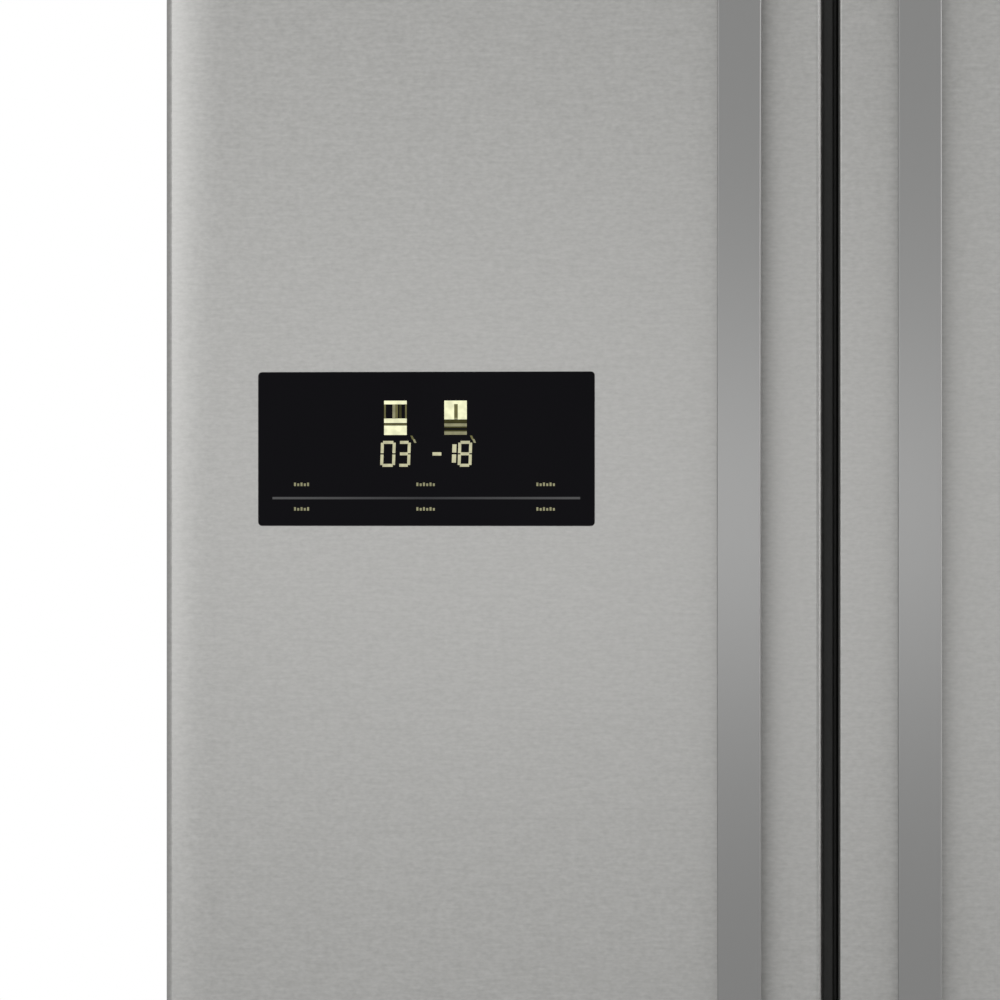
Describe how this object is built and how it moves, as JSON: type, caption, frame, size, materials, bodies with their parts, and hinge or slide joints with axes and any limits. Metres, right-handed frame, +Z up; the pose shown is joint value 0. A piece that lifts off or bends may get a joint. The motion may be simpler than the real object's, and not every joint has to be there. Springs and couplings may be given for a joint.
{
  "type": "side by side refrigerator",
  "caption": "Tall free-standing two-door refrigerator: narrow freezer door with glass display, wide fridge door, bowed vertical bar handles at the middle gap.",
  "frame": {"origin": "on the floor, in the middle of the overall outline, handles included", "axes": "+Z up, the doors face -Y, +X is to the right of someone who faces the doors"},
  "size_m": [0.91, 0.7359, 1.79],
  "materials": {
    "stainless_front": "horizontal fine brushed",
    "handle_metal": "satin, vertical fine brushed",
    "case_paint": "fine textured grey paint",
    "zinc_sheet": "galvanised",
    "black_paint": "satin black",
    "white_liner": "smooth vacuum formed",
    "foam": "closed cell insulation",
    "door_cap": "fine textured dark grey",
    "gasket": "soft matt",
    "display_glass": "polished black glass panel",
    "shelf_glass": "tempered glass with moulded trim",
    "clear_bin": "translucent moulded",
    "dark_plastic": "moulded",
    "mullion": "satin dark grey",
    "coil_metal": "mill finish fins and tube",
    "hinge_steel": "zinc plated and painted",
    "roller_plastic": "moulded nylon",
    "duct_plastic": "fine textured"
  },
  "bodies": {
    "cabinet": {"back_panel": "zinc_sheet", "base_frame": "zinc_sheet", "bottom_hinges": "hinge_steel", "cabinet_foam": "foam", "compressor": "black_paint", "condenser": "coil_metal", "cord_gland": "dark_plastic", "crisper_frame": "shelf_glass", "drain_pan": "dark_plastic", "evaporator": "coil_metal", "freezer_drawer_frame": "shelf_glass", "freezer_duct_panel": "duct_plastic", "freezer_liner": "white_liner", "freezer_shelf_1": "shelf_glass", "freezer_shelf_2": "shelf_glass", "fridge_duct_panel": "duct_plastic", "fridge_liner": "white_liner", "fridge_shelf_1": "shelf_glass", "fridge_shelf_2": "shelf_glass", "fridge_shelf_3": "shelf_glass", "hinge_covers": "dark_plastic", "kick_grille": "dark_plastic", "machine_cover": "zinc_sheet", "mullion_plate": "mullion", "side_panel_left": "case_paint", "side_panel_right": "case_paint", "top_hinges": "hinge_steel", "top_panel": "case_paint"},
    "freezer_door": {"freezer_door_skin": "stainless_front", "freezer_door_core": "foam", "freezer_door_caps": "door_cap", "freezer_door_liner": "white_liner", "freezer_door_gasket": "gasket", "freezer_handle": "handle_metal", "freezer_handle_posts": "handle_metal", "display_glass": "display_glass"},
    "fridge_door": {"fridge_door_skin": "stainless_front", "fridge_door_core": "foam", "fridge_door_caps": "door_cap", "fridge_door_liner": "white_liner", "fridge_door_gasket": "gasket", "fridge_handle": "handle_metal", "fridge_handle_posts": "handle_metal"},
    "freezer_door_bin_low": {"freezer_bin_1": "clear_bin"},
    "freezer_door_bin_mid": {"freezer_bin_2": "clear_bin"},
    "freezer_door_bin_high": {"freezer_bin_3": "clear_bin"},
    "fridge_door_bin_low": {"fridge_bin_1": "clear_bin"},
    "fridge_door_bin_mid": {"fridge_bin_2": "clear_bin"},
    "dairy_bin": {"fridge_bin_3": "clear_bin"},
    "dairy_flap": {"dairy_lid": "clear_bin"},
    "freezer_box_low": {"freezer_drawer_lower": "clear_bin"},
    "freezer_box_high": {"freezer_drawer_upper": "clear_bin"},
    "crisper_box_low": {"crisper_lower": "clear_bin"},
    "crisper_box_high": {"crisper_upper": "clear_bin"},
    "cold_fan": {"evaporator_fan": "dark_plastic"},
    "warm_fan": {"condenser_fan": "dark_plastic"},
    "foot_left": {"levelling_foot_left": "dark_plastic"},
    "foot_right": {"levelling_foot_right": "dark_plastic"},
    "wheel_left": {"roller_left": "roller_plastic"},
    "wheel_right": {"roller_right": "roller_plastic"}
  },
  "joints": [
    {"name": "freezer_door_hinge", "type": "hinge", "parent": "cabinet", "child": "freezer_door", "pos_m": [-0.437, -0.29, 0.9], "axis": [0, 0, -1], "range_deg": [0, 130]},
    {"name": "fridge_door_hinge", "type": "hinge", "parent": "cabinet", "child": "fridge_door", "pos_m": [0.437, -0.29, 0.9], "axis": [0, 0, 1], "range_deg": [0, 130]},
    {"name": "freezer_low_drawer_slide", "type": "slide", "parent": "cabinet", "child": "freezer_box_low", "axis": [0, -1, 0], "range_m": [0, 0.16]},
    {"name": "freezer_high_drawer_slide", "type": "slide", "parent": "cabinet", "child": "freezer_box_high", "axis": [0, -1, 0], "range_m": [0, 0.205]},
    {"name": "crisper_low_slide", "type": "slide", "parent": "cabinet", "child": "crisper_box_low", "axis": [0, -1, 0], "range_m": [0, 0.16]},
    {"name": "crisper_high_slide", "type": "slide", "parent": "cabinet", "child": "crisper_box_high", "axis": [0, -1, 0], "range_m": [0, 0.205]},
    {"name": "freezer_door_bin_low_lift", "type": "slide", "parent": "freezer_door", "child": "freezer_door_bin_low", "axis": [0, 0, 1], "range_m": [0, 0.03]},
    {"name": "freezer_door_bin_mid_lift", "type": "slide", "parent": "freezer_door", "child": "freezer_door_bin_mid", "axis": [0, 0, 1], "range_m": [0, 0.03]},
    {"name": "freezer_door_bin_high_lift", "type": "slide", "parent": "freezer_door", "child": "freezer_door_bin_high", "axis": [0, 0, 1], "range_m": [0, 0.03]},
    {"name": "fridge_door_bin_low_lift", "type": "slide", "parent": "fridge_door", "child": "fridge_door_bin_low", "axis": [0, 0, 1], "range_m": [0, 0.03]},
    {"name": "fridge_door_bin_mid_lift", "type": "slide", "parent": "fridge_door", "child": "fridge_door_bin_mid", "axis": [0, 0, 1], "range_m": [0, 0.03]},
    {"name": "dairy_bin_lift", "type": "slide", "parent": "fridge_door", "child": "dairy_bin", "axis": [0, 0, 1], "range_m": [0, 0.03]},
    {"name": "dairy_flap_hinge", "type": "hinge", "parent": "dairy_bin", "child": "dairy_flap", "pos_m": [0.19655, -0.246, 1.40305], "axis": [1, 0, 0], "range_deg": [0, 80]},
    {"name": "evaporator_fan_spin", "type": "hinge", "parent": "cabinet", "child": "cold_fan", "pos_m": [-0.24145, 0.255, 0.765], "axis": [0, 1, 0], "continuous": true},
    {"name": "condenser_fan_spin", "type": "hinge", "parent": "cabinet", "child": "warm_fan", "pos_m": [-0.13, 0.253, 0.126], "axis": [1, 0, 0], "continuous": true},
    {"name": "foot_left_turn", "type": "hinge", "parent": "cabinet", "child": "foot_left", "pos_m": [-0.397, -0.206, 0.028], "axis": [0, 0, 1], "continuous": true},
    {"name": "foot_right_turn", "type": "hinge", "parent": "cabinet", "child": "foot_right", "pos_m": [0.397, -0.206, 0.028], "axis": [0, 0, 1], "continuous": true},
    {"name": "roller_left_spin", "type": "hinge", "parent": "cabinet", "child": "wheel_left", "pos_m": [-0.397, 0.306, 0.024], "axis": [1, 0, 0], "continuous": true},
    {"name": "roller_right_spin", "type": "hinge", "parent": "cabinet", "child": "wheel_right", "pos_m": [0.397, 0.306, 0.024], "axis": [1, 0, 0], "continuous": true}
  ],
  "couplings": [
    {"joint": "freezer_low_drawer_slide", "follows": "freezer_door_hinge", "m_per_rad": 0.07},
    {"joint": "freezer_high_drawer_slide", "follows": "freezer_door_hinge", "m_per_rad": 0.09},
    {"joint": "crisper_low_slide", "follows": "fridge_door_hinge", "m_per_rad": 0.07},
    {"joint": "crisper_high_slide", "follows": "fridge_door_hinge", "m_per_rad": 0.09}
  ]
}
